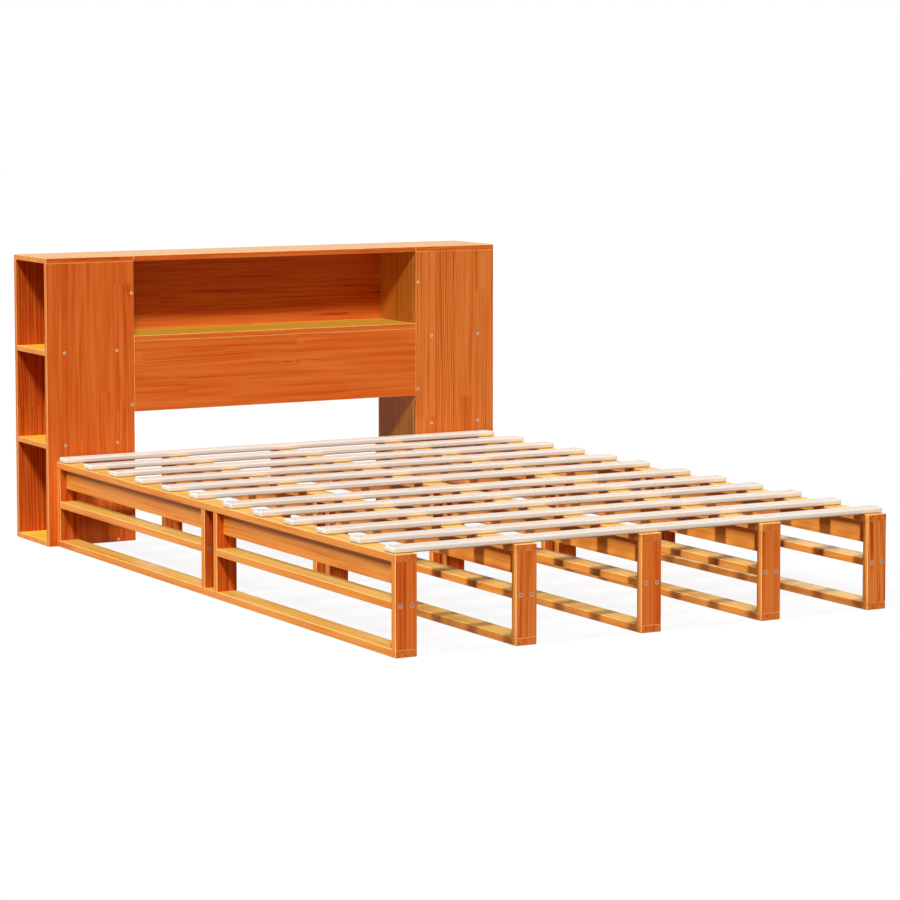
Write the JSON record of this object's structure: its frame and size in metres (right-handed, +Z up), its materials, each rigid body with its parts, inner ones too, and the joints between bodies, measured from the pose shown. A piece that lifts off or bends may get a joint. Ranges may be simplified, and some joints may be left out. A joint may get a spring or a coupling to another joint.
{
  "type": "bookcase headboard bed",
  "caption": "Double bed of ladder-shaped pine beams and cross slats, with a headboard that holds open-sided bookcases, a niche and a headrest.",
  "frame": {"origin": "on the floor, in the middle of the whole bed's length and width", "axes": "+X to the right as seen from the foot, +Y from the foot to the headboard, +Z up"},
  "size_m": [1.454, 2.238, 0.817],
  "materials": {
    "stained_pine": "wax-brown stained pine, satin",
    "bare_pine": "bare sanded pine",
    "screw_steel": "zinc-plated",
    "dowel_beech": "fluted beech dowels, glued, out of sight"
  },
  "bodies": {
    "root": {"beam_1_bottom_rail": "stained_pine", "beam_1_middle_boards": "stained_pine", "beam_1_posts": "stained_pine", "beam_1_stiffeners": "stained_pine", "beam_1_top_rail": "stained_pine", "beam_2_bottom_rail": "stained_pine", "beam_2_middle_boards": "stained_pine", "beam_2_posts": "stained_pine", "beam_2_stiffeners": "stained_pine", "beam_2_top_rail": "stained_pine", "beam_3_bottom_rail": "stained_pine", "beam_3_middle_boards": "stained_pine", "beam_3_posts": "stained_pine", "beam_3_stiffeners": "stained_pine", "beam_3_top_rail": "stained_pine", "beam_4_bottom_rail": "stained_pine", "beam_4_middle_boards": "stained_pine", "beam_4_posts": "stained_pine", "beam_4_stiffeners": "stained_pine", "beam_4_top_rail": "stained_pine", "beam_5_bottom_rail": "stained_pine", "beam_5_middle_boards": "stained_pine", "beam_5_posts": "stained_pine", "beam_5_stiffeners": "stained_pine", "beam_5_top_rail": "stained_pine", "cabinet_screws": "screw_steel", "headboard_screws": "screw_steel", "headrest_board": "stained_pine", "left_cabinet_back_panel": "stained_pine", "left_cabinet_bottom": "stained_pine", "left_cabinet_front_panel": "stained_pine", "left_cabinet_lower_shelf": "stained_pine", "left_cabinet_side_panel": "stained_pine", "left_cabinet_top": "stained_pine", "left_cabinet_upper_shelf": "stained_pine", "middle_board_screws": "screw_steel", "niche_back_panel": "stained_pine", "niche_shelf": "stained_pine", "niche_top": "stained_pine", "right_cabinet_back_panel": "stained_pine", "right_cabinet_bottom": "stained_pine", "right_cabinet_front_panel": "stained_pine", "right_cabinet_lower_shelf": "stained_pine", "right_cabinet_side_panel": "stained_pine", "right_cabinet_top": "stained_pine", "right_cabinet_upper_shelf": "stained_pine", "slat_01": "bare_pine", "slat_02": "bare_pine", "slat_03": "bare_pine", "slat_04": "bare_pine", "slat_05": "bare_pine", "slat_06": "bare_pine", "slat_07": "bare_pine", "slat_08": "bare_pine", "slat_09": "bare_pine", "slat_10": "bare_pine", "slat_11": "bare_pine", "slat_12": "bare_pine", "slat_screws": "screw_steel", "wooden_dowels": "dowel_beech"}
  },
  "joints": []
}
